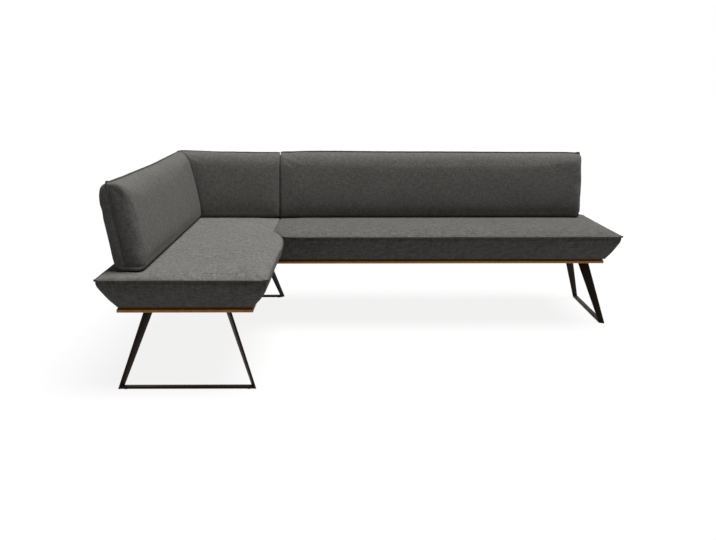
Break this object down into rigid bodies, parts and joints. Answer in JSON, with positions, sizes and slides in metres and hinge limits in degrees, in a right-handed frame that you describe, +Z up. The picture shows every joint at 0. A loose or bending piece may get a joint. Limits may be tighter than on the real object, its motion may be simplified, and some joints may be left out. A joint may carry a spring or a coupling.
{
  "type": "corner bench",
  "caption": "Upholstered L-shaped dining bench with leaning backs, flared seat cushions, thin wooden base plates and slanted black steel sled frames.",
  "frame": {"origin": "on the floor, at the middle of the bench's outline in plan", "axes": "+X along the long module, away from the corner; +Y towards the back of the bench; +Z up"},
  "size_m": [2.396, 1.631, 0.853],
  "materials": {
    "cover_fabric": "matt woven melange upholstery, dark warm grey",
    "oiled_oak": "oiled solid wood, warm orange brown",
    "black_steel": "black powder coat, satin",
    "beech": "planed, untreated",
    "plywood": "sanded, untreated",
    "foam": "open-cell foam",
    "webbing": "woven elastic webbing",
    "glide": "matt"
  },
  "bodies": {
    "root": {"corner_back_board": "plywood", "corner_back_bracket_1": "black_steel", "corner_back_cover": "cover_fabric", "corner_back_foam": "foam", "corner_base_plate": "oiled_oak", "corner_seat_cover": "cover_fabric", "corner_seat_foam": "foam", "corner_seat_frame": "beech", "corner_seat_webbing": "webbing", "corner_sled_floor_bar": "black_steel", "corner_sled_left_glide": "glide", "corner_sled_left_leg": "black_steel", "corner_sled_right_glide": "glide", "corner_sled_right_leg": "black_steel", "corner_sled_top_plate": "black_steel", "front_sled_floor_bar": "black_steel", "front_sled_left_glide": "glide", "front_sled_left_leg": "black_steel", "front_sled_right_glide": "glide", "front_sled_right_leg": "black_steel", "front_sled_top_plate": "black_steel", "joining_plate_1": "black_steel", "joining_plate_2": "black_steel", "long_back_board": "plywood", "long_back_bracket_1": "black_steel", "long_back_bracket_2": "black_steel", "long_back_bracket_3": "black_steel", "long_back_cover": "cover_fabric", "long_back_foam": "foam", "long_base_plate": "oiled_oak", "long_seat_cover": "cover_fabric", "long_seat_foam": "foam", "long_seat_frame": "beech", "long_seat_webbing": "webbing", "right_sled_floor_bar": "black_steel", "right_sled_left_glide": "glide", "right_sled_left_leg": "black_steel", "right_sled_right_glide": "glide", "right_sled_right_leg": "black_steel", "right_sled_top_plate": "black_steel", "side_back_board": "plywood", "side_back_bracket_1": "black_steel", "side_back_bracket_2": "black_steel", "side_back_bracket_3": "black_steel", "side_back_cover": "cover_fabric", "side_back_foam": "foam"}
  },
  "joints": []
}
